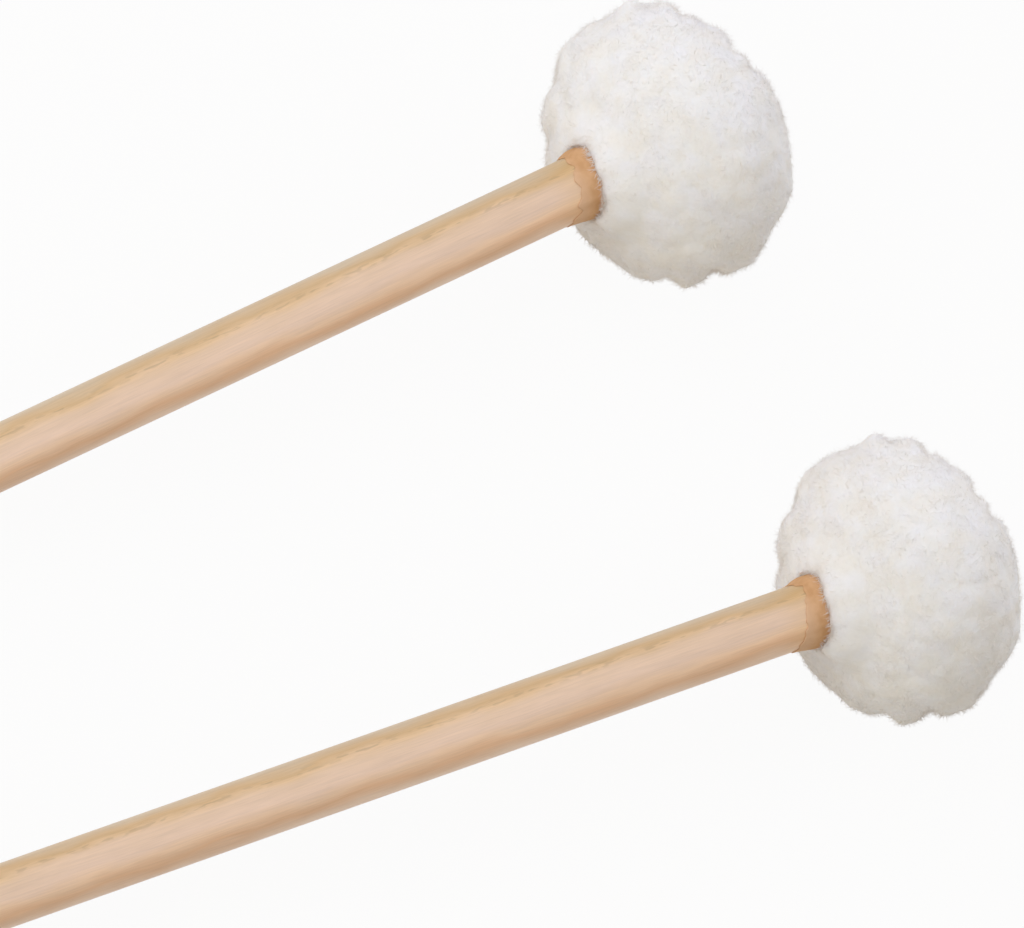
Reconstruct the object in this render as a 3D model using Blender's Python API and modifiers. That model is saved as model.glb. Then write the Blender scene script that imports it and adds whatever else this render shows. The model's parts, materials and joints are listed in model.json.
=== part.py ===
"""A matched pair of timpani mallets, lying side by side.

Each mallet has a turned hardwood handle with a tenon at its head end. A bored wooden core sits on
the tenon and is held by a washer and a wood screw driven into the end grain. A felt liner wraps
the core, and a round patch of wool fleece is gathered over the liner and tied to the handle with a
waxed cord at the neck.

Metres, +Z up. +X runs from the butts to the heads and +Y is the player's left. The pair rests on
z = 0, on the low side of each head and the low edge of each butt. The origin is the middle of the
pair's bounding box, at its bottom.
"""
from math import asin, atan2, cos, hypot, pi, radians, sin, sqrt

import bmesh
import bpy
from mathutils import Matrix, Vector

MM = 0.001

# Outside sizes of one mallet
HANDLE_DIAMETER = 12.7 * MM
OVERALL_LENGTH = 375.0 * MM
HEAD_DIAMETER = 58.4 * MM
HEAD_THICKNESS = 43.0 * MM
BUTT_EDGE_RADIUS = 3.0 * MM

# Layers of the head, outside to inside
FLEECE_THICKNESS = 6.5 * MM
LINER_THICKNESS = 3.0 * MM

# Clearance between pieces that touch
FIT = 0.3 * MM

# Handle's tenon, and the land on the core's back that meets the handle's shoulder
TENON_DIAMETER = 9.0 * MM
TENON_END_CHAMFER = 0.8 * MM
TENON_SHORT_OF_SEAT = 1.0 * MM
SHOULDER_LAND_WIDTH = 1.7 * MM

# Washer and wood screw in the core's front
WASHER_DIAMETER = 14.0 * MM
WASHER_THICKNESS = 1.2 * MM
SCREW_DIAMETER = 4.0 * MM
SCREW_LENGTH = 22.0 * MM
SCREW_POINT_LENGTH = 4.0 * MM
SCREW_HEAD_DIAMETER = 8.0 * MM
SCREW_HEAD_HEIGHT = 2.4 * MM
PILOT_DRILL_POINT = 1.5 * MM

# Gathered neck of the fleece: a hem hugs the handle and the cord is wound on the hem
HEM_THICKNESS = 1.0 * MM
HEM_LIP = 0.3 * MM
NECK_WALL = 1.5 * MM
NECK_ROLL_WIDTH = 3.2 * MM
PLEATS = 9
PLEAT_DEPTH = 0.7 * MM
PLEAT_REACH = 11.0 * MM
CORD_DIAMETER = 0.9 * MM
CORD_PITCH = 1.35 * MM
CORD_TURNS = 2.0
CORD_NECK_GAP = 0.45 * MM

# How the pair lies
REST_FLAT_DEPTH = 0.5 * MM
HEAD_SPACING = 97.7 * MM
HEAD_STAGGER = 12.6 * MM
SPLAY = radians(2.52)
CUTTER_DEPTH = 20.0 * MM

# Facets
HEAD_STEPS = 4 * PLEATS
HANDLE_STEPS = 32
SMALL_STEPS = 20
CAVITY_ARCS = 12
CORD_STEPS_A_TURN = 24
MERGE = 0.001 * MM

# Sizes worked out from the ones above
HANDLE_RADIUS = HANDLE_DIAMETER / 2
HEAD_RADIUS = HEAD_DIAMETER / 2
HEAD_HALF = HEAD_THICKNESS / 2
HEAD_CENTRE = OVERALL_LENGTH - HEAD_HALF
BORE_RADIUS = HANDLE_RADIUS + FIT
CAVITY_RADIUS = HEAD_RADIUS - FLEECE_THICKNESS
CAVITY_HALF = HEAD_HALF - FLEECE_THICKNESS
LINER_RADIUS = CAVITY_RADIUS - FIT
LINER_HALF = CAVITY_HALF - FIT
CORE_RADIUS = LINER_RADIUS - LINER_THICKNESS - FIT
CORE_HALF = LINER_HALF - LINER_THICKNESS - FIT
TENON_RADIUS = TENON_DIAMETER / 2
SEAT_RADIUS = WASHER_DIAMETER / 2 + FIT
SEAT_HEIGHT = CORE_HALF - SCREW_HEAD_HEIGHT - WASHER_THICKNESS - 2 * FIT
WASHER_BASE = SEAT_HEIGHT + FIT
SCREW_SEAT = WASHER_BASE + WASHER_THICKNESS + FIT
TENON_TOP = SEAT_HEIGHT - TENON_SHORT_OF_SEAT
CORD_RADIUS = CORD_DIAMETER / 2
HEM_RADIUS = BORE_RADIUS + HEM_THICKNESS
CORD_COIL_RADIUS = HEM_RADIUS + FIT + CORD_RADIUS
NECK_RADIUS = CORD_COIL_RADIUS + CORD_RADIUS + CORD_NECK_GAP
ROLL_RADIUS = NECK_RADIUS + NECK_ROLL_WIDTH


def oval_height(radius, half, at_radius):
    """Height above the middle of an oval of revolution at a distance from its axis."""
    return half * sqrt(1 - (at_radius / radius) ** 2)


LAND_HEIGHT = -oval_height(CORE_RADIUS, CORE_HALF, HANDLE_RADIUS + SHOULDER_LAND_WIDTH)
SHOULDER_HEIGHT = LAND_HEIGHT - FIT
NECK_FLOOR = -oval_height(CAVITY_RADIUS, CAVITY_HALF, NECK_RADIUS) - NECK_WALL
CORD_START = NECK_FLOOR - FIT - CORD_RADIUS
CORD_END = CORD_START - CORD_TURNS * CORD_PITCH
HEM_END = CORD_END - CORD_RADIUS - HEM_LIP


def oval_arc(radius, half, start, end, count):
    """Points of an oval from one angle to another, 0 at the front pole and pi at the back pole."""
    steps = [start + (end - start) * i / count for i in range(count + 1)]
    return [(radius * sin(angle), half * cos(angle)) for angle in steps]


def oval_angle(radius, at_radius):
    """Angle from the back pole at which an oval reaches a distance from its axis."""
    return asin(at_radius / radius)


def clear_scene():
    """Remove what the scene holds."""
    for item in list(bpy.data.objects):
        bpy.data.objects.remove(item, do_unlink=True)


def new_collection(name):
    """Add a collection to the scene."""
    collection = bpy.data.collections.new(name)
    bpy.context.scene.collection.children.link(collection)
    return collection


def new_material(name, colour, roughness, metallic=0.0):
    """Make a plain Principled material."""
    material = bpy.data.materials.new(name)
    material.use_nodes = True
    shader = material.node_tree.nodes["Principled BSDF"]
    shader.inputs["Base Color"].default_value = (*colour, 1.0)
    shader.inputs["Roughness"].default_value = roughness
    shader.inputs["Metallic"].default_value = metallic
    return material


def new_piece(name, data, material, parent, height=0.0):
    """Add a named piece to the mallets' collection, at a height along its parent's axis."""
    piece = bpy.data.objects.new(name, data)
    PARTS.objects.link(piece)
    piece.data.materials.append(material)
    piece.parent = parent
    piece.location = (0, 0, height)
    return piece


def settle(piece, sharp_angle=radians(40)):
    """Replace a piece's data with its evaluated mesh, welded and shaded smooth."""
    bpy.context.view_layer.update()
    shaped = piece.evaluated_get(bpy.context.evaluated_depsgraph_get())
    mesh = bpy.data.meshes.new_from_object(shaped)
    welded = bmesh.new()
    welded.from_mesh(mesh)
    bmesh.ops.remove_doubles(welded, verts=welded.verts, dist=MERGE)
    welded.to_mesh(mesh)
    welded.free()
    mesh.shade_smooth()
    mesh.set_sharp_from_angle(angle=sharp_angle)
    piece.modifiers.clear()
    piece.data = mesh
    return piece


def turn(name, profile, steps, material, parent, height=0.0, ring=False, gathers=()):
    """Turn a profile of (radius, height) points round the mallet's axis.

    The points run down the outer side. A ring's profile closes on itself, and any other starts and
    ends on the axis. gathers holds (point number, share) pairs, kept as a vertex group.
    """
    mesh = bpy.data.meshes.new(name)
    edges = [(i, i + 1) for i in range(len(profile) - 1)]
    if ring:
        edges.append((len(profile) - 1, 0))
    mesh.from_pydata([(radius, 0, z) for radius, z in profile], edges, [])
    piece = new_piece(name, mesh, material, parent, height)
    if gathers:
        group = piece.vertex_groups.new(name="gathers")
        for point, share in gathers:
            group.add([point], share, "REPLACE")
    screw = piece.modifiers.new("turned", "SCREW")
    screw.axis = "Z"
    screw.angle = 2 * pi
    screw.steps = steps
    screw.render_steps = steps
    screw.use_merge_vertices = True
    screw.merge_threshold = MERGE
    return settle(piece)


def make_handle(side, parent):
    """Dowel with a rounded butt, a shoulder and a drilled tenon."""
    shoulder = HEAD_CENTRE + SHOULDER_HEIGHT
    tenon_end = HEAD_CENTRE + TENON_TOP
    pilot_radius = SCREW_DIAMETER / 2 + FIT
    pilot_end = HEAD_CENTRE + SCREW_SEAT - SCREW_LENGTH - FIT
    butt = []
    for angle in (0, 22.5, 45, 67.5, 90):
        edge = radians(angle)
        radius = HANDLE_RADIUS - BUTT_EDGE_RADIUS * (1 - cos(edge))
        butt.append((radius, BUTT_EDGE_RADIUS * (1 - sin(edge))))
    profile = [
        (0, pilot_end - PILOT_DRILL_POINT),
        (pilot_radius, pilot_end),
        (pilot_radius, tenon_end),
        (TENON_RADIUS - TENON_END_CHAMFER, tenon_end),
        (TENON_RADIUS, tenon_end - TENON_END_CHAMFER),
        (TENON_RADIUS, shoulder),
        (HANDLE_RADIUS, shoulder),
        *butt,
        (0, 0),
    ]
    return turn(f"{side}_handle", profile, HANDLE_STEPS, WOOD, parent)


def make_core(side, parent):
    """Flattened wooden ball with a tenon bore, a washer seat in front and a land behind."""
    bore = TENON_RADIUS + FIT
    land = HANDLE_RADIUS + SHOULDER_LAND_WIDTH
    front = oval_angle(CORE_RADIUS, SEAT_RADIUS)
    back = pi - oval_angle(CORE_RADIUS, land)
    profile = [
        (SEAT_RADIUS, SEAT_HEIGHT),
        *oval_arc(CORE_RADIUS, CORE_HALF, front, back, 10),
        (bore, LAND_HEIGHT),
        (bore, SEAT_HEIGHT),
    ]
    return turn(f"{side}_head_core", profile, HEAD_STEPS, CORE_WOOD, parent, HEAD_CENTRE, ring=True)


def make_washer(side, parent):
    """Flat steel washer under the screw's head."""
    outer = WASHER_DIAMETER / 2
    hole = SCREW_DIAMETER / 2 + FIT
    top = WASHER_BASE + WASHER_THICKNESS
    profile = [(outer, top), (outer, WASHER_BASE), (hole, WASHER_BASE), (hole, top)]
    return turn(f"{side}_core_washer", profile, SMALL_STEPS, STEEL, parent, HEAD_CENTRE, ring=True)


def make_screw(side, parent):
    """Pan-headed wood screw in the tenon's end grain, its thread left plain."""
    head = SCREW_HEAD_DIAMETER / 2
    shank = SCREW_DIAMETER / 2
    tip = SCREW_SEAT - SCREW_LENGTH
    dome = oval_arc(head, SCREW_HEAD_HEIGHT, 0, pi / 2, 4)
    profile = [
        *[(radius, SCREW_SEAT + height) for radius, height in dome],
        (shank, SCREW_SEAT),
        (shank, tip + SCREW_POINT_LENGTH),
        (0, tip),
    ]
    return turn(f"{side}_core_screw", profile, SMALL_STEPS, STEEL, parent, HEAD_CENTRE)


def make_liner(side, parent):
    """Felt pad round the core, closed in front and open where the handle enters."""
    inner_radius = LINER_RADIUS - LINER_THICKNESS
    inner_half = LINER_HALF - LINER_THICKNESS
    outer_end = pi - oval_angle(LINER_RADIUS, BORE_RADIUS)
    inner_end = pi - oval_angle(inner_radius, BORE_RADIUS)
    profile = [
        *oval_arc(LINER_RADIUS, LINER_HALF, 0, outer_end, CAVITY_ARCS),
        *oval_arc(inner_radius, inner_half, inner_end, 0, 10),
    ]
    return turn(f"{side}_felt_liner", profile, HEAD_STEPS, FELT, parent, HEAD_CENTRE)


def make_cover(side, parent):
    """Fleece patch over the liner, rolled into a pleated neck that ends in a bound hem."""
    back_start = pi - oval_angle(HEAD_RADIUS, ROLL_RADIUS)
    outer = oval_arc(HEAD_RADIUS, HEAD_HALF, 0, back_start, 13)
    back_height = outer[-1][1]
    roll = []
    for angle in (30, 60, 90):
        turned_in = radians(angle)
        radius = ROLL_RADIUS - NECK_ROLL_WIDTH * sin(turned_in)
        roll.append((radius, NECK_FLOOR + (back_height - NECK_FLOOR) * cos(turned_in)))
    cavity_end = pi - oval_angle(CAVITY_RADIUS, BORE_RADIUS)
    cavity = oval_arc(CAVITY_RADIUS, CAVITY_HALF, cavity_end, 0, CAVITY_ARCS)
    hem = [(HEM_RADIUS, NECK_FLOOR), (HEM_RADIUS, HEM_END), (BORE_RADIUS, HEM_END)]
    profile = [*outer, *roll, *hem, *cavity]
    gathers = []
    for point, (radius, height) in enumerate([*outer, *roll]):
        away = abs(radius - ROLL_RADIUS)
        reach = PLEAT_REACH if radius > ROLL_RADIUS else NECK_ROLL_WIDTH
        if height < 0 and away < reach:
            gathers.append((point, cos(away / reach * pi / 2) ** 2))
    name = f"{side}_fleece_cover"
    cover = turn(name, profile, HEAD_STEPS, FLEECE, parent, HEAD_CENTRE, gathers=gathers)
    for vertex in cover.data.vertices:
        share = sum(member.weight for member in vertex.groups)
        around = atan2(vertex.co.y, vertex.co.x)
        vertex.co.z -= PLEAT_DEPTH * share * cos(PLEATS * around)
    flat = cover.modifiers.new("rest_flat", "BOOLEAN")
    flat.operation = "DIFFERENCE"
    flat.solver = "EXACT"
    flat.object = FLOOR_CUTTER
    return cover


def cord_points():
    """Centre line of the neck cord, wound on the hem, with a short straight tail at each end."""
    count = round(CORD_TURNS * CORD_STEPS_A_TURN)
    wound = []
    for step in range(count + 1):
        angle = 2 * pi * CORD_TURNS * step / count
        height = CORD_START + (CORD_END - CORD_START) * step / count
        wound.append(Vector((CORD_COIL_RADIUS * cos(angle), CORD_COIL_RADIUS * sin(angle), height)))
    first_tail = wound[0] + (wound[0] - wound[1]).normalized() * CORD_DIAMETER
    last_tail = wound[-1] + (wound[-1] - wound[-2]).normalized() * CORD_DIAMETER
    return [first_tail, *wound, last_tail]


def least_gap(points):
    """Least distance between the cord's surfaces, one turn against the others."""
    half_turn = CORD_STEPS_A_TURN // 2
    distances = [
        (points[j] - points[i]).length
        for i in range(len(points))
        for j in range(i + half_turn, len(points))
    ]
    return min(distances) - CORD_DIAMETER


def make_cord(side, parent):
    """Waxed drawstring: one unbroken tube wound round the hem."""
    points = cord_points()
    curve = bpy.data.curves.new(f"{side}_neck_cord", "CURVE")
    curve.dimensions = "3D"
    spline = curve.splines.new("POLY")
    spline.points.add(len(points) - 1)
    for place, point in zip(spline.points, points):
        place.co = (*point, 1)
    curve.bevel_depth = CORD_RADIUS
    curve.bevel_resolution = 1
    curve.use_fill_caps = True
    print(f"{side} neck cord: least gap to itself {least_gap(points) / MM:.2f} mm")
    return new_piece(f"{side}_neck_cord", curve, CORD, parent, HEAD_CENTRE)


def lying_tilt():
    """Angle of a mallet's axis above the floor when its head and its butt edge both rest."""
    tilt = 0.0
    for _ in range(20):
        head_height = hypot(HEAD_RADIUS * cos(tilt), HEAD_HALF * sin(tilt)) - REST_FLAT_DEPTH
        butt_height = HANDLE_RADIUS * cos(tilt) - BUTT_EDGE_RADIUS * sin(tilt)
        tilt = asin((head_height - butt_height) / HEAD_CENTRE)
    return tilt


def lay_axis(side, across, along, turned):
    """Empty on a mallet's axis at its butt, +Z towards the head and +X straight down."""
    tilt = lying_tilt()
    forward = Vector((cos(tilt) * cos(turned), cos(tilt) * sin(turned), sin(tilt)))
    down = Vector((sin(tilt) * cos(turned), sin(tilt) * sin(turned), -cos(tilt)))
    sideways = forward.cross(down)
    head_height = hypot(HEAD_RADIUS * cos(tilt), HEAD_HALF * sin(tilt)) - REST_FLAT_DEPTH
    butt = Vector((along, across, head_height)) - forward * HEAD_CENTRE
    axis = bpy.data.objects.new(f"{side}_axis", None)
    PARTS.objects.link(axis)
    rotation = Matrix((down, sideways, forward)).transposed().to_4x4()
    axis.matrix_world = Matrix.Translation(butt) @ rotation
    return axis


def make_floor_cutter():
    """Box under z = 0 that cuts the flats on which the heads rest."""
    mesh = bpy.data.meshes.new("floor_cutter")
    box = bmesh.new()
    bmesh.ops.create_cube(box, size=1)
    bmesh.ops.scale(box, verts=box.verts, vec=(2 * OVERALL_LENGTH, OVERALL_LENGTH, CUTTER_DEPTH))
    bmesh.ops.translate(box, verts=box.verts, vec=(0, 0, -CUTTER_DEPTH / 2))
    box.to_mesh(mesh)
    box.free()
    cutter = bpy.data.objects.new("floor_cutter", mesh)
    CUTTERS.objects.link(cutter)
    cutter.display_type = "WIRE"
    cutter.hide_render = True
    return cutter


def make_mallet(side, across, along, turned):
    """One whole mallet, its pieces parented to an empty on its axis."""
    axis = lay_axis(side, across, along, turned)
    for make in (make_handle, make_core, make_washer, make_screw, make_liner, make_cover, make_cord):
        make(side, axis)


clear_scene()
PARTS = new_collection("timpani_mallets")
CUTTERS = new_collection("cutters")
WOOD = new_material("lacquered_hardwood", (0.72, 0.50, 0.33), 0.40)
CORE_WOOD = new_material("bare_hardwood", (0.70, 0.53, 0.36), 0.70)
STEEL = new_material("zinc_plated_steel", (0.60, 0.61, 0.63), 0.35, 1.0)
FELT = new_material("pressed_wool_felt", (0.62, 0.59, 0.53), 0.95)
FLEECE = new_material("wool_fleece", (0.86, 0.84, 0.81), 1.0)
CORD = new_material("waxed_linen_cord", (0.66, 0.58, 0.44), 0.60)
FLOOR_CUTTER = make_floor_cutter()

pair_length = HEAD_CENTRE * cos(lying_tilt()) * cos(SPLAY) + HEAD_STAGGER + HEAD_HALF
left_head = HEAD_CENTRE * cos(lying_tilt()) * cos(SPLAY) - pair_length / 2
make_mallet("left", HEAD_SPACING / 2, left_head, SPLAY)
make_mallet("right", -HEAD_SPACING / 2, left_head + HEAD_STAGGER, -SPLAY)
bpy.context.view_layer.update()
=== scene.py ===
# %% [markdown]
# # A pair of timpani mallets
#
# Timpani mallets have a long, light handle of turned hardwood and a soft head: a wooden core, a
# felt liner and a cover of wool fleece that is gathered at the neck. This lesson dresses a model
# whose solids already have the right sizes. It keeps those solids where they are, turns smooth
# handles, grows a woolly fleece round each head, and gives every piece its own finish.

import json
from math import acos, asin, atan2, cos, degrees, exp, hypot, pi, radians, sin, sqrt
from random import Random

import bmesh
import bpy
from mathutils import Matrix, Vector, noise


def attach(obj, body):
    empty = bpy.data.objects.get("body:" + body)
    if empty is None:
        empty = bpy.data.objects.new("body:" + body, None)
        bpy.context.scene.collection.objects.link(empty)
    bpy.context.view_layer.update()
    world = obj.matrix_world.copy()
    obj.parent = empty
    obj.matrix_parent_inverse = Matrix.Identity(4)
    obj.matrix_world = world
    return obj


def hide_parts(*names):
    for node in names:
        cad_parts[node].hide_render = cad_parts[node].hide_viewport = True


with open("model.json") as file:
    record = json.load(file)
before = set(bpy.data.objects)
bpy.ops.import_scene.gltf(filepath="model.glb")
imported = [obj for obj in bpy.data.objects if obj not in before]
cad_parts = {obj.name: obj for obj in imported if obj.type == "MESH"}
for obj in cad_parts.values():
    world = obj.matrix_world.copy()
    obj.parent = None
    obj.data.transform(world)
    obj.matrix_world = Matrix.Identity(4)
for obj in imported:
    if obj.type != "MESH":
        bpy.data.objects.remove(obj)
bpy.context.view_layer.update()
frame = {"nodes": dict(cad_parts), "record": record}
MM = 0.001
SIDES = ("left", "right")

# %% [markdown]
# ## Where each mallet lies
#
# A mallet is easiest to shape standing on its butt, with its axis straight up, and to lay down
# afterwards. The record names the flat face of each butt and the direction it looks, and that is
# all one needs: the axis runs from that point, away from that direction. The matrix below turns
# bench coordinates, with Z along the handle and X straight down to the floor, into the scene's.

# %% Bench to scene
HANDLE_RADIUS = 12.7 * MM / 2
HEAD_RADIUS = 58.4 * MM / 2
HEAD_HALF = 43.0 * MM / 2
OVERALL_LENGTH = 375.0 * MM
HEAD_CENTRE = OVERALL_LENGTH - HEAD_HALF

mounts = {mount["name"]: mount for mount in frame["record"]["mounts"]}


def bench_to_scene(side):
    """Matrix that lays a mallet modelled on the bench where its solids are."""
    butt = mounts[f"{side}_butt_face"]
    forward = -Vector(butt["axis"]).normalized()
    sideways = forward.cross(Vector((0, 0, -1))).normalized()
    down = sideways.cross(forward)
    turn = Matrix((down, sideways, forward)).transposed().to_4x4()
    return Matrix.Translation(Vector(butt["pos_m"])) @ turn


laid = {side: bench_to_scene(side) for side in SIDES}
heads = {side: laid[side] @ Vector((0, 0, HEAD_CENTRE)) for side in SIDES}
for side in SIDES:
    print(side, "head centre, mm:", [round(v / MM, 1) for v in heads[side]])

# %% [markdown]
# ## Camera
#
# The handles keep the same width from one end of the picture to the other, as in a drawing without
# perspective, so the camera stands very far away and has a very long lens. It stands behind the
# butts, looks down at 51 degrees and is rolled, so that the handles climb to the right.

# %% Camera
CAMERA_DOWN = radians(51.26)
CAMERA_ROLL = radians(22.25)
LENS = 1500.0
SENSOR = 36.0
PICTURE_WIDTH = 1024
PIXEL = 12.7 * MM / 63.9
HEAD_PIXEL = (665.6, 145.3)
PICTURE_CENTRE = (512.0, 464.0)

toward_camera = Vector((-cos(CAMERA_DOWN), 0, sin(CAMERA_DOWN)))
along_floor = Vector((sin(CAMERA_DOWN), 0, cos(CAMERA_DOWN)))
across_floor = Vector((0, 1, 0))
picture_right = along_floor * cos(CAMERA_ROLL) - across_floor * sin(CAMERA_ROLL)
picture_up = along_floor * sin(CAMERA_ROLL) + across_floor * cos(CAMERA_ROLL)

right_by = (PICTURE_CENTRE[0] - HEAD_PIXEL[0]) * PIXEL
down_by = (PICTURE_CENTRE[1] - HEAD_PIXEL[1]) * PIXEL
aim = heads["left"] + picture_right * right_by - picture_up * down_by
distance = LENS / SENSOR * PICTURE_WIDTH * PIXEL

lens = bpy.data.cameras.new("long_lens")
lens.lens = LENS
lens.sensor_width = SENSOR
lens.clip_end = 2 * distance
camera = bpy.data.objects.new("camera", lens)
turn = Matrix((picture_right, picture_up, toward_camera)).transposed().to_4x4()
camera.matrix_world = Matrix.Translation(aim + toward_camera * distance) @ turn
bpy.context.scene.collection.objects.link(camera)
bpy.context.scene.camera = camera
print(f"camera {distance:.2f} m away")

# %% [markdown]
# ## Colours and nodes
#
# Colours are written as the hex values that a picture editor shows, and one function turns them
# to the linear values that Blender works in. One more adds a shader node with its settings, its
# values and its links.

# %% Helpers for finishes


def linear(hex_colour):
    """Linear colour, with alpha, of an sRGB hex value."""
    channels = [int(hex_colour[i:i + 2], 16) / 255 for i in (1, 3, 5)]
    return (*[c / 12.92 if c < 0.04045 else ((c + 0.055) / 1.055) ** 2.4 for c in channels], 1.0)


def add_node(tree, kind, inputs=(), **settings):
    """Add a node, set it up, and fill its sockets with values or with links."""
    node = tree.nodes.new(kind)
    for name, value in settings.items():
        setattr(node, name, value)
    for socket, value in dict(inputs).items():
        if isinstance(value, bpy.types.NodeSocket):
            tree.links.new(value, node.inputs[socket])
        else:
            node.inputs[socket].default_value = value
    return node


def new_finish(name):
    """Start a material: its tree and its Principled shader."""
    finish = bpy.data.materials.new(name)
    finish.use_nodes = True
    return finish, finish.node_tree, finish.node_tree.nodes["Principled BSDF"]


# %% [markdown]
# ## Shapes on the bench
#
# Three tools serve all the shapes. The first eases a value from 0 to 1 without a corner. The
# second spins an outline of radii and heights round the Z axis. The third lays a bench shape down
# on its mallet, and keeps each point's bench place in an attribute, for the grain of the wood.

# %% Helpers for shapes
MERGE = 0.001 * MM


def smooth_step(value):
    """Smooth rise from 0 to 1."""
    value = min(max(value, 0.0), 1.0)
    return value * value * (3 - 2 * value)


def spin_outline(outline, steps, closed=False):
    """Smooth shape spun round the Z axis from the radii and heights of an outline."""
    shape = bmesh.new()
    points = [shape.verts.new((radius, 0, height)) for radius, height in outline]
    following = points[1:] + points[:1] if closed else points[1:]
    edges = [shape.edges.new(pair) for pair in zip(points, following)]
    bmesh.ops.spin(shape, geom=points + edges, axis=(0, 0, 1), cent=(0, 0, 0), angle=2 * pi,
                   steps=steps, use_merge=True)
    bmesh.ops.remove_doubles(shape, verts=shape.verts, dist=MERGE)
    bmesh.ops.recalc_face_normals(shape, faces=shape.faces)
    for face in shape.faces:
        face.smooth = True
    return shape


def bench_piece(name, side, shape, finish, replaced=None):
    """Lay a bench shape down as a finished piece, which may stand for one solid."""
    mesh = bpy.data.meshes.new(name)
    shape.to_mesh(mesh)
    shape.free()
    bench = mesh.attributes.new("bench", "FLOAT_VECTOR", "POINT")
    for number, vertex in enumerate(mesh.vertices):
        bench.data[number].vector = vertex.co
    mesh.transform(laid[side])
    mesh.materials.append(finish)
    piece = bpy.data.objects.new(name, mesh)
    bpy.context.scene.collection.objects.link(piece)
    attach(piece, f"{side}_mallet")
    if replaced:
        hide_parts(replaced)
    return piece


# %% [markdown]
# ## Floor
#
# The pair lies on a white sweep. To the camera, and in reflections, the floor is nearly all white
# light, so that only a faint shadow shows on it. To every other ray it is a pale, nearly neutral
# surface, which sends some of the light back up into the lower half of the heads.

# %% Floor
FLOOR_SIZE = 6.0
FLOOR_DROP = 0.05 * MM
FLOOR_WHITENESS = 0.94
FLOOR_COLOUR = "#DEDAD3"
FLOOR_ROUGHNESS = 0.9


def seen_directly(tree):
    """Socket that is 1 for rays from the camera, a mirror or through glass, and 0 for others."""
    path = add_node(tree, "ShaderNodeLightPath")
    mirrored = add_node(tree, "ShaderNodeMath",
                        {0: path.outputs["Is Camera Ray"], 1: path.outputs["Is Glossy Ray"]},
                        operation="MAXIMUM")
    either = add_node(tree, "ShaderNodeMath",
                      {0: mirrored.outputs[0], 1: path.outputs["Is Transmission Ray"]},
                      operation="MAXIMUM")
    return either.outputs[0]


def make_floor():
    """White sweep that takes a faint shadow."""
    grid = bmesh.new()
    bmesh.ops.create_grid(grid, x_segments=1, y_segments=1, size=FLOOR_SIZE / 2)
    bmesh.ops.translate(grid, verts=grid.verts, vec=(0, 0, -FLOOR_DROP))
    mesh = bpy.data.meshes.new("floor")
    grid.to_mesh(mesh)
    grid.free()
    floor = bpy.data.objects.new("floor", mesh)
    bpy.context.scene.collection.objects.link(floor)
    finish, tree, shader = new_finish("white_paper_sweep")
    shader.inputs["Base Color"].default_value = linear(FLOOR_COLOUR)
    shader.inputs["Roughness"].default_value = FLOOR_ROUGHNESS
    white = add_node(tree, "ShaderNodeMath", {0: seen_directly(tree), 1: FLOOR_WHITENESS},
                     operation="MULTIPLY")
    glow = add_node(tree, "ShaderNodeEmission", {"Color": linear("#FFFFFF"), "Strength": 1.0})
    mix = add_node(tree, "ShaderNodeMixShader",
                   {0: white.outputs[0], 1: shader.outputs[0], 2: glow.outputs[0]})
    tree.links.new(mix.outputs[0], tree.nodes["Material Output"].inputs["Surface"])
    mesh.materials.append(finish)


make_floor()

# %% [markdown]
# ## Light
#
# White wool on white only reads if the light is soft and still comes from one side. Three
# softboxes give that: a cool key at the upper left of the picture, a low one in front, behind the
# butts, and a weak, cool one at the back, beyond the heads. The even fill from the sky is warmer
# than they are. The pale band along the top of each handle is the mirror image of a long overhead
# light in the lacquer. A straight rod sends the camera's view out on a cone round the rod, so the
# strip lamps stand on an arc of that cone.

# %% World and lamps
SKY_STRENGTH = 0.45
SKY_TINT = "#FFF6EC"
SOFTBOX_DISTANCE = 1.5
SOFTBOX_SIZE = 1.2
SOFTBOXES = (("key", (-0.40, 0.55, 0.73), 10.5, "#DFE5FF"),
             ("front", (-0.93, 0.26, 0.20), 7.2, "#F7F9EE"),
             ("back", (0.85, 0.10, 0.52), 4.3, "#E7EFFF"))
STRIP_CONE = radians(57)
STRIP_TURNS = (radians(-25.5), radians(8), radians(41))
STRIP_DISTANCE = 1.6
STRIP_LENGTH = 0.80
STRIP_WIDTH = 0.36
STRIP_POWER = 0.9
STRIP_TINT = "#F9FAFF"
DIFFUSE_BOUNCES = 12


def light_sky():
    """Even surroundings: white where they are seen, and a weaker, warmer fill elsewhere."""
    world = bpy.data.worlds.new("studio")
    world.use_nodes = True
    bpy.context.scene.world = world
    tree = world.node_tree
    direct = seen_directly(tree)
    strength = add_node(tree, "ShaderNodeMapRange",
                        {"Value": direct, "To Min": SKY_STRENGTH, "To Max": 1.0})
    tint = add_node(tree, "ShaderNodeMix", {0: direct, 6: linear(SKY_TINT), 7: linear("#FFFFFF")},
                    data_type="RGBA")
    sky = tree.nodes["Background"]
    tree.links.new(tint.outputs[2], sky.inputs["Color"])
    tree.links.new(strength.outputs["Result"], sky.inputs["Strength"])


def hang_lamp(name, direction, along, distance, length, width, power, tint):
    """Area lamp that looks at the middle of the picture, with its length along a direction."""
    data = bpy.data.lights.new(name, "AREA")
    data.color = linear(tint)[:3]
    data.shape = "RECTANGLE"
    data.size = length
    data.size_y = width
    data.energy = power
    lamp = bpy.data.objects.new(name, data)
    across = direction.cross(along).normalized()
    turn = Matrix((across.cross(direction), across, direction)).transposed().to_4x4()
    lamp.matrix_world = Matrix.Translation(aim + direction * distance) @ turn
    lamp.visible_camera = False
    bpy.context.scene.collection.objects.link(lamp)


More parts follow.
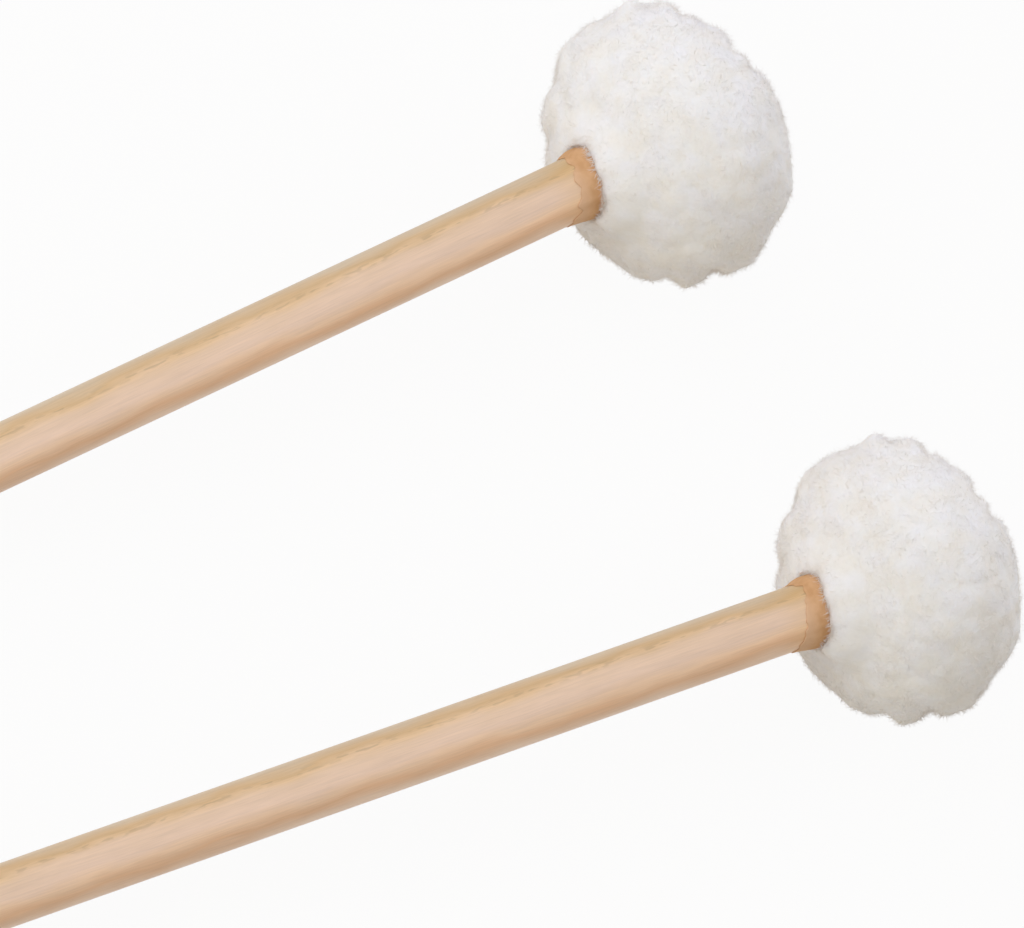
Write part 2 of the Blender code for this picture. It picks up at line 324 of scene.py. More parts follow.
light_sky()
for name, direction, power, tint in SOFTBOXES:
    hang_lamp(name, Vector(direction).normalized(), picture_right, SOFTBOX_DISTANCE,
              SOFTBOX_SIZE, SOFTBOX_SIZE, power, tint)
for number, angle in enumerate(STRIP_TURNS, 1):
    direction = Vector((cos(STRIP_CONE), sin(STRIP_CONE) * sin(angle),
                        sin(STRIP_CONE) * cos(angle)))
    hang_lamp(f"strip_{number}", direction, Vector((0, cos(angle), -sin(angle))),
              STRIP_DISTANCE, STRIP_LENGTH, STRIP_WIDTH, STRIP_POWER, STRIP_TINT)
bpy.context.scene.view_settings.view_transform = "Standard"
bpy.context.scene.cycles.diffuse_bounces = DIFFUSE_BOUNCES
print("lamps:", len(SOFTBOXES), "softboxes and", len(STRIP_TURNS), "strips")

# %% [markdown]
# ## Handle finish: lacquered hardwood dowel
#
# The handle is a pale, straight-grained hardwood such as maple, turned from a split blank and
# lacquered to a satin gloss. A point attribute called bench carries each point's place on the
# upright mallet, because the grain has to follow a dowel that lies at a slant. Across the bench's Y
# the colour runs in long stripes, partly the wood's own tones and partly painted light: a darker
# golden edge towards the picture's top, a pale middle band that is a painted highlight, and a
# lower edge painted lighter, as if lit from below. Fine fibres run along the dowel, and short dark
# flecks, the wood's rays, gather where the growth layers are cut edge on. The last centimetre
# before the hide is a trace yellower. The lacquer is the shader's coat, which is smoother than the
# wood under it.

# %% Lacquered dowel
STREAK_WIDTH = 1.9 * MM
STREAK_LENGTH = 75.0 * MM
STREAK_TONES = (0.95, 1.04)
FIBRE_WIDTH = 0.30 * MM
FIBRE_LENGTH = 8.0 * MM
FIBRE_TONES = (0.93, 1.01)
FIBRE_DEPTH = 0.05 * MM
FLECK_WIDTH = 0.65 * MM
FLECK_LENGTH = 3.4 * MM
FLECK_LAYER = 0.57 * HANDLE_RADIUS
FLECK_BAND = 0.16 * HANDLE_RADIUS
FLECK_DARKENING = 0.17
WAVE_WIDTH = 5.0 * MM
WAVE_LENGTH = 17.0 * MM
WAVE_HEIGHT = 0.16
# Stops from the dowel's lower edge in the picture to its upper one: the wood's own tones with
# painted light, a painted highlight in the pale middle and a lower edge painted lighter.
WOOD_AND_PAINTED_LIGHT_STOPS = ((0.00, "#F9DABC"), (0.16, "#EDC197"), (0.30, "#F4D1AD"), (0.44, "#ECCEB3"),
          (0.66, "#E3C5A5"), (0.76, "#E1C096"), (0.84, "#D4B283"), (1.00, "#D3BD9C"))
NECK_TINT = "#FFFBED"
NECK_START = HEAD_CENTRE - 36 * MM
NECK_END = HEAD_CENTRE - 27 * MM
WOOD_ROUGHNESS = 0.5
WOOD_SPECULAR = 0.3
LACQUER_WEIGHT = 0.35
LACQUER_ROUGHNESS = 0.3


def make_dowel_finish():
    """Pale straight-grained hardwood under satin lacquer."""
    finish, tree, shader = new_finish("lacquered_maple_dowel")
    bench = add_node(tree, "ShaderNodeAttribute", attribute_name="bench").outputs["Vector"]

    def grain(width, length, detail):
        """Noise stretched along the dowel."""
        place = add_node(tree, "ShaderNodeMapping",
                         {"Vector": bench, "Scale": (1 / width, 1 / width, 1 / length)})
        return add_node(tree, "ShaderNodeTexNoise",
                        {"Vector": place.outputs[0], "Scale": 1.0, "Detail": detail}).outputs[0]

    def times(colour, factor):
        """Colour multiplied by a grey value."""
        return add_node(tree, "ShaderNodeMix", {0: 1.0, 6: colour, 7: factor},
                        data_type="RGBA", blend_type="MULTIPLY").outputs[2]

    streaks = grain(STREAK_WIDTH, STREAK_LENGTH, 2.0)
    fibres = grain(FIBRE_WIDTH, FIBRE_LENGTH, 2.0)
    bench_place = add_node(tree, "ShaderNodeSeparateXYZ", {0: bench})
    across = bench_place.outputs["Y"]
    layer = add_node(tree, "ShaderNodeMapRange",
                     {"Value": across, "From Min": -HANDLE_RADIUS, "From Max": HANDLE_RADIUS})
    waves = add_node(tree, "ShaderNodeMapRange",
                     {"Value": grain(WAVE_WIDTH, WAVE_LENGTH, 2.0),
                      "To Min": -WAVE_HEIGHT, "To Max": WAVE_HEIGHT})
    place = add_node(tree, "ShaderNodeMath", {0: layer.outputs[0], 1: waves.outputs[0]})
    # This ramp paints the dowel's highlight and a light from below into the wood's colour.
    wood_and_painted_light = add_node(tree, "ShaderNodeValToRGB", {"Fac": place.outputs[0]})
    stops = wood_and_painted_light.color_ramp.elements
    for number, (position, colour) in enumerate(WOOD_AND_PAINTED_LIGHT_STOPS):
        stop = stops[number] if number < 2 else stops.new(position)
        stop.position = position
        stop.color = linear(colour)
    tone = add_node(tree, "ShaderNodeMapRange",
                    {"Value": streaks, "From Min": 0.3, "From Max": 0.7,
                     "To Min": STREAK_TONES[0], "To Max": STREAK_TONES[1]})
    pores = add_node(tree, "ShaderNodeMapRange",
                     {"Value": fibres, "From Min": 0.30, "From Max": 0.62,
                      "To Min": FIBRE_TONES[0], "To Max": FIBRE_TONES[1]})
    away = add_node(tree, "ShaderNodeMath", {0: across, 1: FLECK_LAYER}, operation="SUBTRACT")
    away = add_node(tree, "ShaderNodeMath", {0: away.outputs[0]}, operation="ABSOLUTE")
    near = add_node(tree, "ShaderNodeMapRange",
                    {"Value": away.outputs[0], "From Max": FLECK_BAND,
                     "To Min": FLECK_DARKENING, "To Max": 0.0})
    rays = add_node(tree, "ShaderNodeMapRange",
                    {"Value": grain(FLECK_WIDTH, FLECK_LENGTH, 1.0),
                     "From Min": 0.52, "From Max": 0.62})
    dark = add_node(tree, "ShaderNodeMath", {0: rays.outputs[0], 1: near.outputs[0]},
                    operation="MULTIPLY")
    fleck = add_node(tree, "ShaderNodeMath", {0: 1.0, 1: dark.outputs[0]}, operation="SUBTRACT")
    neck = add_node(tree, "ShaderNodeMapRange",
                    {"Value": bench_place.outputs["Z"], "From Min": NECK_START,
                     "From Max": NECK_END}, interpolation_type="SMOOTHSTEP")
    tint = add_node(tree, "ShaderNodeMix", {0: neck.outputs[0], 6: linear("#FFFFFF"),
                                            7: linear(NECK_TINT)}, data_type="RGBA")
    colour = times(times(times(wood_and_painted_light.outputs[0], tone.outputs[0]), pores.outputs[0]),
                   fleck.outputs[0])
    colour = times(colour, tint.outputs[2])
    tree.links.new(colour, shader.inputs["Base Color"])
    shader.inputs["Roughness"].default_value = WOOD_ROUGHNESS
    shader.inputs["Specular IOR Level"].default_value = WOOD_SPECULAR
    shader.inputs["Coat Weight"].default_value = LACQUER_WEIGHT
    shader.inputs["Coat Roughness"].default_value = LACQUER_ROUGHNESS
    bump = add_node(tree, "ShaderNodeBump",
                    {"Height": fibres, "Strength": 0.2, "Distance": FIBRE_DEPTH})
    tree.links.new(bump.outputs[0], shader.inputs["Normal"])
    return finish


DOWEL = make_dowel_finish()

# %% [markdown]
# ## Handle
#
# The solid handle has flat facets, which a glossy coat would show. A smooth one is spun from the
# same outline: a rounded butt, a long straight dowel, the shoulder that stops the core, and the
# tenon with its pilot hole. Only the butt's round edge is drawn afresh. The other steps are read
# off the solid's own corners, so that the two can't differ.

# %% Turn the handles
TURNING_STEPS = 72
BUTT_EDGE = 3.0 * MM
BUTT_ARCS = 8
HAIR = 0.02 * MM
SHARP_ANGLE = radians(40)


def handle_outline(side):
    """Distance from the axis and height of each corner of the handle's outline."""
    back = laid[side].inverted()
    places = [back @ vertex.co for vertex in frame["nodes"][f"{side}_handle"].data.vertices]
    corners = [(hypot(place.x, place.y), place.z) for place in places]
    end = max(height for _, height in corners)
    shoulder = max(height for radius, height in corners if radius > HANDLE_RADIUS - HAIR)
    tenon = [corner for corner in corners if corner[1] > shoulder + HAIR]
    tenon_radius = max(radius for radius, _ in tenon)
    chamfer = max(height for radius, height in tenon if radius > tenon_radius - HAIR)
    rim = [radius for radius, height in tenon if height > end - HAIR]
    drilled = [height for radius, height in corners if radius < min(rim) + HAIR and height > HAIR]
    pilot = min(height for radius, height in corners
                if abs(radius - min(rim)) < HAIR and height < end - HAIR)
    outline = [(0.0, 0.0)]
    for step in range(BUTT_ARCS + 1):
        angle = step / BUTT_ARCS * pi / 2
        outline.append((HANDLE_RADIUS - BUTT_EDGE * (1 - sin(angle)),
                        BUTT_EDGE * (1 - cos(angle))))
    outline += [(HANDLE_RADIUS, shoulder), (tenon_radius, shoulder), (tenon_radius, chamfer),
                (max(rim), end), (min(rim), end), (min(rim), pilot), (0.0, min(drilled))]
    return outline


def turn_handle(side):
    """Smooth dowel with its rounded butt and its tenon."""
    shape = spin_outline(handle_outline(side), TURNING_STEPS)
    handle = bench_piece(f"{side}_dowel", side, shape, DOWEL, f"{side}_handle")
    handle.data.set_sharp_from_angle(angle=SHARP_ANGLE)
    return handle


for side in SIDES:
    handle = turn_handle(side)
    print(handle.name, len(handle.data.polygons), "faces")

# %% [markdown]
# ## Hem
#
# Lambswool grows on a thin hide. Where the cover is drawn together, its bare tan edge lies round
# the handle, in small uneven folds, and shows as a darker ring between the wood and the wool. It is
# spun from a flat wedge, thin at its free edge, and each point is then moved: noise folds it in
# and out, and its cut edge lies at a slant and goes unevenly up and down. The two mallets read the
# noise at different places, so that their hems differ.

# %% Draw up the hem
HEM_STEPS = 160
HEM_ROWS = 12
HEM_GAP = 0.04 * MM
HEM_RADIUS = 7.45 * MM
HEM_EDGE_THICKNESS = 0.16 * MM
HEM_EDGE = -27.6 * MM
HEM_SLANT = 2.2 * MM
HEM_MOUTH = -22.0 * MM
HEM_TOP = -16.5 * MM
HEM_ROUND = 0.05 * MM
HEM_FOLD = 0.22 * MM
HEM_RAGGED = 1.5 * MM
HEM_FOLDS = 3.4
HEM_WAVES = 2.6
HEM_FADE = 3.0 * MM
HEM_FOLD_LENGTH = 6 * MM
HEM_NOISE_START = {"left": 0.0, "right": 10.0}
FRACTAL = (1.0, 2.0, 2)
HIDE_WRINKLE = 0.8 * MM
HIDE_PATCH = 2.5 * MM
HIDE_DARK = "#CFA070"
HIDE_LIGHT = "#DDB184"
HIDE_EDGE = "#E0B993"


def make_hide_finish():
    """Soft tanned hide: matte, patchy and wrinkled, and paler at its thin cut edge."""
    finish, tree, shader = new_finish("tanned_lambskin_hide")
    bench = add_node(tree, "ShaderNodeAttribute", attribute_name="bench").outputs["Vector"]
    patches = add_node(tree, "ShaderNodeTexNoise",
                       {"Vector": bench, "Scale": 1 / HIDE_PATCH, "Detail": 2.0}).outputs[0]
    wrinkles = add_node(tree, "ShaderNodeTexNoise",
                        {"Vector": bench, "Scale": 1 / HIDE_WRINKLE, "Detail": 3.0}).outputs[0]
    hide = add_node(tree, "ShaderNodeValToRGB", {"Fac": patches})
    hide.color_ramp.elements[0].position = 0.35
    hide.color_ramp.elements[0].color = linear(HIDE_DARK)
    hide.color_ramp.elements[1].position = 0.65
    hide.color_ramp.elements[1].color = linear(HIDE_LIGHT)
    height = add_node(tree, "ShaderNodeSeparateXYZ", {0: bench}).outputs["Z"]
    thick = add_node(tree, "ShaderNodeMapRange",
                     {"Value": height, "From Min": HEAD_CENTRE + HEM_EDGE - HEM_RAGGED / 2,
                      "From Max": HEAD_CENTRE + HEM_EDGE + HEM_FADE},
                     interpolation_type="SMOOTHSTEP")
    colour = add_node(tree, "ShaderNodeMix",
                      {0: thick.outputs[0], 6: linear(HIDE_EDGE), 7: hide.outputs[0]},
                      data_type="RGBA")
    tree.links.new(colour.outputs[2], shader.inputs["Base Color"])
    shader.inputs["Roughness"].default_value = 0.8
    shader.inputs["Specular IOR Level"].default_value = 0.2
    bump = add_node(tree, "ShaderNodeBump",
                    {"Height": wrinkles, "Strength": 0.5, "Distance": 0.15 * MM})
    tree.links.new(bump.outputs[0], shader.inputs["Normal"])
    return finish


def draw_up_hem(side, finish):
    """Ring of hide round the handle, from its free edge to well inside the wool."""
    inner = HANDLE_RADIUS + HEM_GAP
    edge_radius = inner + HEM_EDGE_THICKNESS
    profile = [(inner, HEM_TOP), (inner, HEM_EDGE + HEM_ROUND), (inner + HEM_ROUND, HEM_EDGE),
               (edge_radius - HEM_ROUND, HEM_EDGE)]
    for row in range(HEM_ROWS + 1):
        share = row / HEM_ROWS
        profile.append((edge_radius + (HEM_RADIUS - edge_radius) * smooth_step(share),
                        HEM_EDGE + HEM_ROUND + (HEM_MOUTH - HEM_EDGE) * share))
    profile.append((HEM_RADIUS, HEM_TOP))
    shape = spin_outline([(radius, HEAD_CENTRE + height) for radius, height in profile],
                         HEM_STEPS, closed=True)
    start = HEM_NOISE_START[side]
    for vertex in shape.verts:
        away = hypot(vertex.co.x, vertex.co.y)
        way = Vector((vertex.co.x / away, vertex.co.y / away, 0))
        height = vertex.co.z - HEAD_CENTRE
        free = 1 - smooth_step((height - HEM_EDGE) / (HEM_MOUTH - HEM_EDGE))
        outer = (away - inner) / (HEM_RADIUS - inner)
        fold = noise.noise(way * HEM_FOLDS + Vector((start, 0, height / HEM_FOLD_LENGTH)))
        vertex.co -= way * outer * HEM_FOLD * (0.5 + fold)
        ragged = noise.fractal(way * HEM_WAVES + Vector((start, 5, 0)), *FRACTAL)
        vertex.co.z += free * (HEM_SLANT * way.y + HEM_RAGGED * ragged)
    return bench_piece(f"{side}_hem", side, shape, finish)


hide = make_hide_finish()
for side in SIDES:
    hem = draw_up_hem(side, hide)
    print(hem.name, len(hem.data.polygons), "faces")

# %% [markdown]
# ## Fleece finish: white lambswool
#
# Wool fibres let light through, so a fleece has no hard highlight and its hollows stay bright:
# light that enters one lock leaves from the next. The finish is very rough, has a little sheen, and
# carries light a couple of millimetres under the surface. Clean lambswool is a warm white, with
# faint differences from lock to lock. Only the dense underwool carries light inside: a single
# strand is too thin for that, so the strands have the same finish without it.

# %% Lambswool
LOCK_SIZE = 5.0 * MM
FIBRE_SHADES = 0.7 * MM
SCATTER = 2.5 * MM
SCATTER_COLOURS = (1.0, 0.95, 0.9)
WOOL_SHADED = "#FAF5ED"
WOOL_BRIGHT = "#FCF9F5"
WOOL_SPECULAR = 0.1
WOOL_SHEEN = 0.15
WOOL_SHEEN_ROUGHNESS = 0.6


def make_fleece_finish(name, scatter):
    """White lambswool, and how much of its light travels under the surface."""
    finish, tree, shader = new_finish(name)
    place = add_node(tree, "ShaderNodeTexCoord").outputs["Object"]
    locks = add_node(tree, "ShaderNodeTexNoise",
                     {"Vector": place, "Scale": 1 / LOCK_SIZE, "Detail": 1.0})
    wool = add_node(tree, "ShaderNodeValToRGB", {"Fac": locks.outputs[0]})
    wool.color_ramp.elements[0].position = 0.35
    wool.color_ramp.elements[0].color = linear(WOOL_SHADED)
    wool.color_ramp.elements[1].position = 0.65
    wool.color_ramp.elements[1].color = linear(WOOL_BRIGHT)
    fibres = add_node(tree, "ShaderNodeTexNoise",
                      {"Vector": place, "Scale": 1 / FIBRE_SHADES, "Detail": 2.0})
    shade = add_node(tree, "ShaderNodeMapRange",
                     {"Value": fibres.outputs[0], "From Min": 0.3, "From Max": 0.7,
                      "To Min": 0.97, "To Max": 1.0})
    mixed = add_node(tree, "ShaderNodeMix", {0: 1.0, 6: wool.outputs[0], 7: shade.outputs[0]},
                     data_type="RGBA", blend_type="MULTIPLY")
    tree.links.new(mixed.outputs[2], shader.inputs["Base Color"])
    shader.inputs["Roughness"].default_value = 1.0
    shader.inputs["Specular IOR Level"].default_value = WOOL_SPECULAR
    shader.inputs["Sheen Weight"].default_value = WOOL_SHEEN
    shader.inputs["Sheen Roughness"].default_value = WOOL_SHEEN_ROUGHNESS
    shader.inputs["Subsurface Weight"].default_value = scatter
    shader.inputs["Subsurface Radius"].default_value = SCATTER_COLOURS
    shader.inputs["Subsurface Scale"].default_value = SCATTER
    return finish


UNDERWOOL = make_fleece_finish("white_lambswool_underwool", 1.0)
FIBRES = make_fleece_finish("white_lambswool_fibres", 0.0)

# %% [markdown]
# ## Fleece body
#
# The body of the fleece is one closed, dense form. It starts as a finely cut cube that is puffed
# out to a ball, because that has even faces and no poles. The ball's directions are then read off
# an outline: the outside of the head from its front pole to the neck, where a short collar of wool
# hugs the handle, and then the inside, back to the front. The real cover is drawn together there
# by its cord, which this collar hides. The collar reaches further along the handle on one side,
# as the drawn-up wool of a real one does. Cell-shaped noise rounds the outside into soft locks.
#
# A head's outline is uneven: it has bumps and dents of a millimetre or two. They are listed as
# seen by the camera, each with its angle round the head in degrees (0 is the front, 90 the
# picture's upper side), its height in millimetres and its half-width in degrees. They are fullest
# on the rim that the camera sees and fade out on both sides of it.

# %% Shape the fleece
CUBE_CUTS = 111
BODY_INSET = 0.65 * MM
FLEECE_THICKNESS = 6.5 * MM
INSIDE_ANGLE = radians(26)
BORE_SHARE = 0.3
BORE_RADIUS = HEM_RADIUS + 0.1 * MM
COLLAR_START = 15.0 * MM
COLLAR_EDGE = 8.0 * MM
COLLAR_SHARE = 0.93
LIP_SHARE = 0.975
COLLAR_SHORT = 0.8 * MM
COLLAR_LONG = 3.8 * MM
COLLAR_TURN = radians(215)
COLLAR_SLANT = 1.6
COLLAR_RAGGED = 0.9 * MM
SWELL = 11.0 * MM
SWELL_HEIGHT = 0.5 * MM
LUMP = 5.6 * MM
LUMP_HEIGHT = 0.4 * MM
TUFT = 2.2 * MM
TUFT_HEIGHT = 0.12 * MM
RIM_LUMPS = ((17, -1.7, 4), (28, -2.1, 5), (46, -0.8, 5), (58, -1.1, 2.5), (66, 1.1, 5),
             (80, 1.2, 4), (91, -0.6, 4), (110, 0.4, 6), (125, -1.5, 6), (153, -1.3, 6),
             (231, 0.4, 4), (245, -1.4, 4), (253, 0.6, 2.5), (265, -2.4, 4), (281, 0.7, 4),
             (297, -0.6, 5), (316, 0.7, 9))
RIM_BAND = 0.28
COLLAR_WAVES = 2.2
COLLAR_TIGHTENS = 0.6
LIP_LOOSE = 0.3
LUMP_REACH = 0.75
REST_GAP = 0.02 * MM
LITTLE = radians(0.5)

body_radius = HEAD_RADIUS - BODY_INSET
body_half = HEAD_HALF - BODY_INSET
inner_radius = HEAD_RADIUS - FLEECE_THICKNESS
inner_half = HEAD_HALF - FLEECE_THICKNESS
bore_angle = pi - asin(BORE_RADIUS / inner_radius)
collar_angle = pi - asin(COLLAR_START / body_radius)
outside = pi - INSIDE_ANGLE


def collar_reach(around):
    """How far the collar stands out along the handle, at an angle round it."""
    share = 0.5 + 0.5 * cos(around - COLLAR_TURN)
    ragged = noise.noise(Vector((COLLAR_WAVES * cos(around), COLLAR_WAVES * sin(around), 0)))
    slant = smooth_step(1 - COLLAR_SLANT * (1 - share))
    return COLLAR_SHORT + (COLLAR_LONG - COLLAR_SHORT) * slant + COLLAR_RAGGED * ragged


def picture_axes(side):
    """Bench directions towards the camera, and along and across the handle in the picture."""
    sight = laid[side].to_3x3().transposed() @ toward_camera
    along = (Vector((0, 0, 1)) - sight * sight.z).normalized()
    return sight, along, sight.cross(along)


sights = {side: picture_axes(side) for side in SIDES}


def rim_lump(side, place):
    """Height of the rim's lumps at a place on the head, and how near the rim it is, from 0 to 1."""
    sight, along, across = sights[side]
    facing, ball = [Vector((way.x / body_radius, way.y / body_radius,
                            way.z / body_half)).normalized() for way in (sight, place)]
    near = exp(-(ball.dot(facing) / RIM_BAND) ** 2)
    turn = degrees(atan2(place.dot(across), place.dot(along))) % 360
    height = 0.0
    for middle, rise, half_width in RIM_LUMPS:
        away = abs(turn - middle)
        away = min(away, 360 - away)
        height += rise * MM * exp(-(away / half_width) ** 2)
    return height * near, near


def fleece_point(down, around):
    """Radius, height over the head's centre and looseness at angles from and round the axis."""
    if down < outside * COLLAR_SHARE:
        angle = down / (outside * COLLAR_SHARE) * collar_angle
        return body_radius * sin(angle), body_half * cos(angle), 1.0
    reach = collar_reach(around)
    edge = -body_half * sqrt(1 - (COLLAR_EDGE / body_radius) ** 2) - reach
    if down < outside * LIP_SHARE:
        share = (down / outside - COLLAR_SHARE) / (LIP_SHARE - COLLAR_SHARE)
        radius = COLLAR_START + (COLLAR_EDGE - COLLAR_START) * share
        height = -body_half * sqrt(1 - (radius / body_radius) ** 2) - reach * smooth_step(share)
        return radius, height, 1.0 - COLLAR_TIGHTENS * share
    if down < outside:
        angle = (down / outside - LIP_SHARE) / (1 - LIP_SHARE) * pi / 2
        round_off = COLLAR_EDGE - BORE_RADIUS
        return (COLLAR_EDGE - round_off * sin(angle), edge + round_off * (1 - cos(angle)),
                LIP_LOOSE)
    share = (down - outside) / INSIDE_ANGLE
    if share < BORE_SHARE:
        lip = edge + COLLAR_EDGE - BORE_RADIUS
        return BORE_RADIUS, lip + (inner_half * cos(bore_angle) - lip) * share / BORE_SHARE, 0.0
    angle = bore_angle * (1 - share) / (1 - BORE_SHARE)
    return inner_radius * sin(angle), inner_half * cos(angle), 0.0


def wool_surface(side, down, around):
    """Place on the woolly outside of a head, its outward direction and its looseness."""
    radius, height, loose = fleece_point(down, around)
    before, behind, _ = fleece_point(max(down - LITTLE, 0.0), around)
    after, ahead, _ = fleece_point(min(down + LITTLE, outside), around)
    outward = Vector(((behind - ahead) * cos(around), (behind - ahead) * sin(around),
                      after - before)).normalized()
    place = Vector((radius * cos(around), radius * sin(around), height))
    if loose > 0:
        rim, near = rim_lump(side, place)
        nearest = noise.voronoi(place / LUMP)[0][0]
        lumps = 1 - min(nearest / LUMP_REACH, 1.0) ** 2
        tufts = noise.fractal(place / TUFT, *FRACTAL)
        swell = noise.noise(place / SWELL)
        place += outward * loose * (rim + SWELL_HEIGHT * (1 - near) * swell
                                    + LUMP_HEIGHT * (lumps - 0.5) + TUFT_HEIGHT * tufts)
    place.z += HEAD_CENTRE
    return place, outward, loose


def shape_fleece(side):
    """Closed woolly shell of one head, on the bench."""
    shape = bmesh.new()
    bmesh.ops.create_cube(shape, size=2)
    bmesh.ops.subdivide_edges(shape, edges=shape.edges, cuts=CUBE_CUTS, use_grid_fill=True)
    to_scene = laid[side]
    to_bench = to_scene.inverted()
    for vertex in shape.verts:
        way = Vector([sin(v * pi / 4) for v in vertex.co]).normalized()
        down, around = atan2(hypot(way.x, way.y), way.z), atan2(way.y, way.x)
        vertex.co, _, _ = wool_surface(side, down, around)
        low = to_scene @ vertex.co
        if low.z < REST_GAP:
            low.z = REST_GAP
            vertex.co = to_bench @ low
    for face in shape.faces:
        face.smooth = True
    return shape


for side in SIDES:
    body = bench_piece(f"{side}_fleece", side, shape_fleece(side), UNDERWOOL,
                       f"{side}_fleece_cover")
    print(body.name, len(body.data.polygons), "faces")

# %% [markdown]
# ## Wool strands
#
# The body alone looks like plaster. What makes it wool is thousands of short, fine strands that
# stand out of it and lean over, side by side, in slow swirls. One strand is a three-sided cone
# that is bent over; a few bends are made once, and every strand is a turned copy of one of them.
# Roots are spread like the seeds in a sunflower, which covers a ball evenly. Near the neck the
# strands are combed towards the butt and hug the handle. A real fibre is about 0.03 mm thick.
# These are drawn three to four times thicker, each standing for a small bundle, so that they
# still show. The draws and the noise of the swirls both start from one seed, because Blender
# otherwise sets the swirls' noise by the clock, and the wool would grow differently each time.

# %% Grow the strands
STRAND_LENGTH = 1.8 * MM
STRAND_RADIUS = 0.04 * MM
STRAND_SIDES = 3
STRAND_BENDS = ((0.15, 0.05), (0.35, -0.12), (0.5, 0.10), (0.3, 0.25), (0.6, -0.05))
STRANDS = 16000
LAYERS_OF_STRANDS = 2
ROOT_DEPTH = 0.35 * MM
SWIRL = 8.0 * MM
STANDING = 0.36
STRAY = 0.45
COMB = 0.5
HUG = 0.35
COMB_START = 12.0 * MM
COMB_END = 8.5 * MM
COMB_EFFECT = 0.3
STRAND_SIZES = (0.75, 1.15)
STRAND_BELLY = 1.5
BEND_SHORTENS = 0.3
GOLDEN_ANGLE = pi * (3 - sqrt(5))
SEED = 4


def bend_strand(name, bend, sway):
    """One pointed strand on the Z axis from the origin, bent over towards +X."""
    shape = bmesh.new()
    bmesh.ops.create_cone(shape, cap_ends=True, segments=STRAND_SIDES, radius1=STRAND_RADIUS,
                          radius2=0, depth=STRAND_LENGTH)
    bmesh.ops.remove_doubles(shape, verts=shape.verts, dist=MERGE)
    long_edges = [edge for edge in shape.edges if edge.calc_length() > STRAND_LENGTH / 2]
    bmesh.ops.subdivide_edges(shape, edges=long_edges, cuts=1)
    for vertex in shape.verts:
        share = vertex.co.z / STRAND_LENGTH + 0.5
        fuller = STRAND_BELLY if 0.1 < share < 0.9 else 1.0
        vertex.co.x = vertex.co.x * fuller + bend * STRAND_LENGTH * share ** 2
        vertex.co.y = vertex.co.y * fuller + sway * STRAND_LENGTH * share ** 2
        vertex.co.z = STRAND_LENGTH * share * (1 - BEND_SHORTENS * bend * share)
    for face in shape.faces:
        face.smooth = True
    mesh = bpy.data.meshes.new(name)
    shape.to_mesh(mesh)
    shape.free()
    rest = [value for vertex in mesh.vertices for value in vertex.co]
    return mesh, rest


def grow_strands(side, layer, templates):
    """One layer of strands over a whole head."""
    draw = Random(f"{SEED} {side} {layer}")
    to_scene = laid[side]
    pile = bmesh.new()
    for number in range(STRANDS):
        down = acos(1 - (1 - cos(outside)) * (number + draw.random()) / STRANDS)
        around = (GOLDEN_ANGLE * (number + layer / LAYERS_OF_STRANDS) + pi) % (2 * pi) - pi
        root, outward, _ = wool_surface(side, down, around)
        stray = Vector((draw.uniform(-1, 1), draw.uniform(-1, 1), draw.uniform(-1, 1)))
        swirl = noise.noise_vector(root / SWIRL)
        combed = 0.0
        away = hypot(root.x, root.y)
        if root.z < HEAD_CENTRE:
            combed = smooth_step((COMB_START - away) / (COMB_START - COMB_END))
        lean = (swirl + stray * STRAY) * (1 - COMB_EFFECT * combed)
        lean -= Vector((root.x / away * HUG, root.y / away * HUG, COMB)) * combed
        standing = STANDING * (1 - COMB_EFFECT * combed)
        lean -= outward * lean.dot(outward)
        way = (outward * standing + lean).normalized()
        over = (lean - way * lean.dot(way)).normalized()
        turn = Matrix((over, way.cross(over), way)).transposed().to_4x4()
        size = Matrix.Scale(draw.uniform(*STRAND_SIZES) * (1 + COMB_EFFECT * combed), 4)
        place = to_scene @ Matrix.Translation(root - outward * ROOT_DEPTH) @ turn @ size
        if (place @ Vector((0, 0, STRAND_LENGTH))).z < REST_GAP or place.translation.z < REST_GAP:
            continue
        mesh, rest = templates[draw.randrange(len(templates))]
        mesh.vertices.foreach_set("co", rest)
        mesh.transform(to_scene.inverted() @ place)
        pile.from_mesh(mesh)
    return pile


noise.seed_set(SEED)
templates = [bend_strand(f"strand_{number}", *bend) for number, bend in enumerate(STRAND_BENDS)]
for side in SIDES:
    for layer in range(LAYERS_OF_STRANDS):
        wool = bench_piece(f"{side}_wool_{layer + 1}", side, grow_strands(side, layer, templates),
                           FIBRES)
        print(wool.name, len(wool.data.polygons), "faces")
for mesh, _ in templates:
    bpy.data.meshes.remove(mesh)

# %% [markdown]
# ## Hidden pieces
#
# Inside each head are a turned core of bare hardwood, a zinc-plated washer and screw, a liner of
# pressed felt, and the waxed cord that draws the cover together. They are the solids themselves,
# which only get their finish here: it shows when someone takes a head apart. They have no UV map,
# so every pattern is on Object coordinates, stretched along X, where the grain has to follow the
# handle.

# %% Finish the hidden pieces
CORE_GRAIN = (14.0 * MM, 1.1 * MM, 1.1 * MM)
SPANGLE = 1.6 * MM
FELT_FIBRE = 0.45 * MM
CORD_PLY = 0.5 * MM


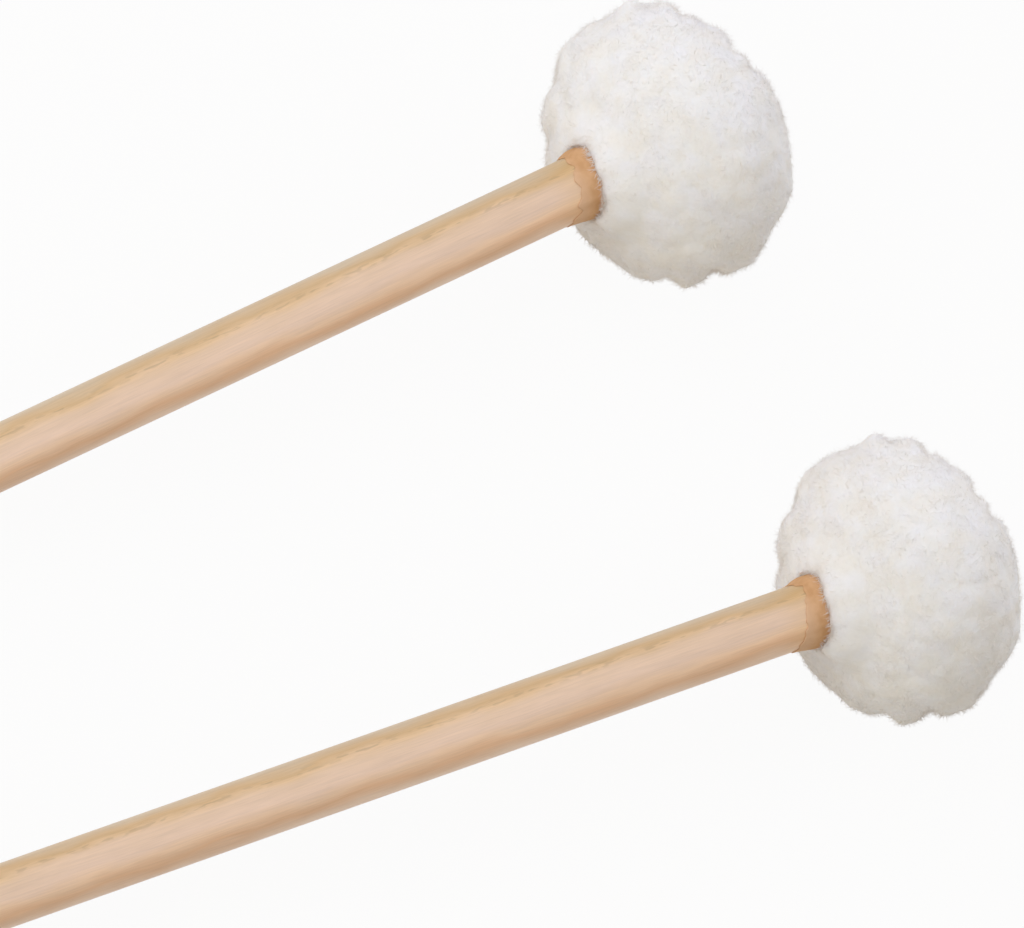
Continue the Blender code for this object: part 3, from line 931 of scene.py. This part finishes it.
def speckled_finish(name, size, detail, dark, light, bump_depth, roughness):
    """Finish whose colour, roughness and bump follow one noise on Object coordinates."""
    finish, tree, shader = new_finish(name)
    size = size if isinstance(size, tuple) else (size, size, size)
    place = add_node(tree, "ShaderNodeTexCoord").outputs["Object"]
    place = add_node(tree, "ShaderNodeMapping",
                     {"Vector": place, "Scale": tuple(1 / length for length in size)}).outputs[0]
    speckle = add_node(tree, "ShaderNodeTexNoise",
                       {"Vector": place, "Scale": 1.0, "Detail": detail}).outputs[0]
    colour = add_node(tree, "ShaderNodeMix",
                      {0: speckle, 6: linear(dark), 7: linear(light)}, data_type="RGBA")
    tree.links.new(colour.outputs[2], shader.inputs["Base Color"])
    rough = add_node(tree, "ShaderNodeMapRange",
                     {"Value": speckle, "To Min": roughness[0], "To Max": roughness[1]})
    tree.links.new(rough.outputs[0], shader.inputs["Roughness"])
    bump = add_node(tree, "ShaderNodeBump",
                    {"Height": speckle, "Strength": 0.6, "Distance": bump_depth})
    tree.links.new(bump.outputs[0], shader.inputs["Normal"])
    return finish, shader


core, _ = speckled_finish("bare_turned_beech", CORE_GRAIN, 4.0, "#B98A5E", "#D9B184",
                          0.05 * MM, (0.6, 0.75))
plated, shader = speckled_finish("zinc_plated_steel", SPANGLE, 2.0, "#A9ADB0", "#D0D3D6",
                                 0.01 * MM, (0.28, 0.42))
shader.inputs["Metallic"].default_value = 1.0
felt, shader = speckled_finish("pressed_wool_felt", FELT_FIBRE, 4.0, "#9C9588", "#C7C1B3",
                               0.2 * MM, (0.9, 1.0))
shader.inputs["Sheen Weight"].default_value = 0.4
cord, shader = speckled_finish("waxed_linen_cord", CORD_PLY, 3.0, "#A08A64", "#C6B189",
                               0.1 * MM, (0.45, 0.6))
shader.inputs["Coat Weight"].default_value = 0.2
hidden = {"head_core": core, "core_washer": plated, "core_screw": plated, "felt_liner": felt,
          "neck_cord": cord}
for side in SIDES:
    for name, finish in hidden.items():
        for slot in frame["nodes"][f"{side}_{name}"].material_slots:
            slot.material = finish
print("hidden pieces finished:", len(SIDES) * len(hidden))
